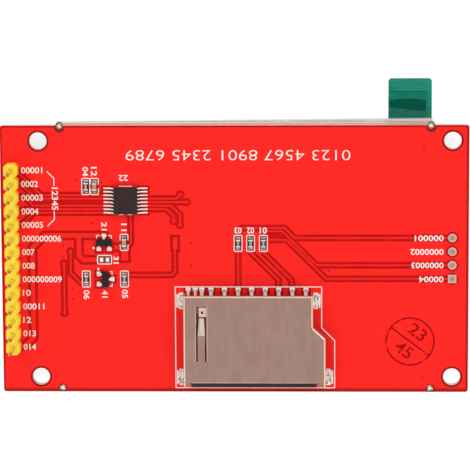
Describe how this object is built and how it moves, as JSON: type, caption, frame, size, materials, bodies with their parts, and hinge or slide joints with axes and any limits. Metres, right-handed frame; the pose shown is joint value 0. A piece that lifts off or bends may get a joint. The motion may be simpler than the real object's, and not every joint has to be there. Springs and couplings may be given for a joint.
{
  "type": "tft display module",
  "caption": "Colour screen with a resistive touch panel on a circuit board that carries a pin header, a touch controller chip and a memory-card socket.",
  "frame": {"origin": "middle of the four mounting holes, on the outer face of the screen film", "axes": "+X along the board, away from the pin header; +Y across the board, towards the pull tab; +Z out of the component side"},
  "size_m": [0.086, 0.0579, 0.0143],
  "materials": {
    "board_mask": "red solder mask, glossy",
    "print_ink": "printed ink",
    "header_plastic": "satin",
    "pin_metal": "plated",
    "solder": "bright solder",
    "shell_metal": "nickel-plated sheet",
    "socket_plastic": "moulded",
    "contact_metal": "plated",
    "chip_plastic": "moulded",
    "lead_metal": "tinned",
    "resistor_ceramic": "glazed",
    "capacitor_ceramic": "fired",
    "frame_metal": "pressed sheet",
    "white_plastic": "moulded",
    "reflector": "mirror-white film",
    "guide_plastic": "clear",
    "optical_film": "translucent film",
    "polariser": "dark film",
    "display_glass": "clear",
    "lamp_body": "moulded",
    "flex_film": "coated film",
    "silicon": "polished",
    "foam": "closed-cell foam",
    "black_tape": "tape",
    "panel_glass": "clear",
    "gasket": "printed gasket",
    "panel_film": "clear film",
    "cover_film": "clear film",
    "tab_film": "tinted film"
  },
  "bodies": {
    "root": {"circuit_board": "board_mask", "silkscreen": "print_ink", "header_housing": "header_plastic", "header_pins": "pin_metal", "header_solder": "solder", "sd_shell": "shell_metal", "sd_base": "socket_plastic", "sd_contacts": "contact_metal", "sd_switch_contacts": "contact_metal", "sd_solder": "solder", "sd_pad_solder": "solder", "touch_controller_body": "chip_plastic", "touch_controller_leads": "lead_metal", "regulator_body": "chip_plastic", "regulator_leads": "lead_metal", "transistor_body": "chip_plastic", "transistor_leads": "lead_metal", "component_solder": "solder", "jumper_pads": "solder", "capacitor_1": "capacitor_ceramic", "capacitor_2": "capacitor_ceramic", "resistor_1": "resistor_ceramic", "resistor_2": "resistor_ceramic", "resistor_3": "resistor_ceramic", "resistor_4": "resistor_ceramic", "resistor_5": "resistor_ceramic", "resistor_6": "resistor_ceramic", "display_frame": "frame_metal", "frame_leg_solder": "solder", "mould_frame": "white_plastic", "reflector_sheet": "reflector", "light_guide": "guide_plastic", "lower_diffuser": "optical_film", "lower_prism_film": "optical_film", "upper_prism_film": "optical_film", "upper_diffuser": "optical_film", "led_strip": "flex_film", "backlight_leds": "lamp_body", "rear_polariser": "polariser", "tft_glass": "display_glass", "colour_filter_glass": "display_glass", "front_polariser": "polariser", "driver_chip": "silicon", "display_flex": "flex_film", "foam_tape": "foam", "panel_tape": "black_tape", "touch_glass": "panel_glass", "touch_spacer": "gasket", "touch_film": "panel_film", "touch_flex": "flex_film", "screen_film": "cover_film", "pull_tab": "tab_film"}
  },
  "joints": []
}
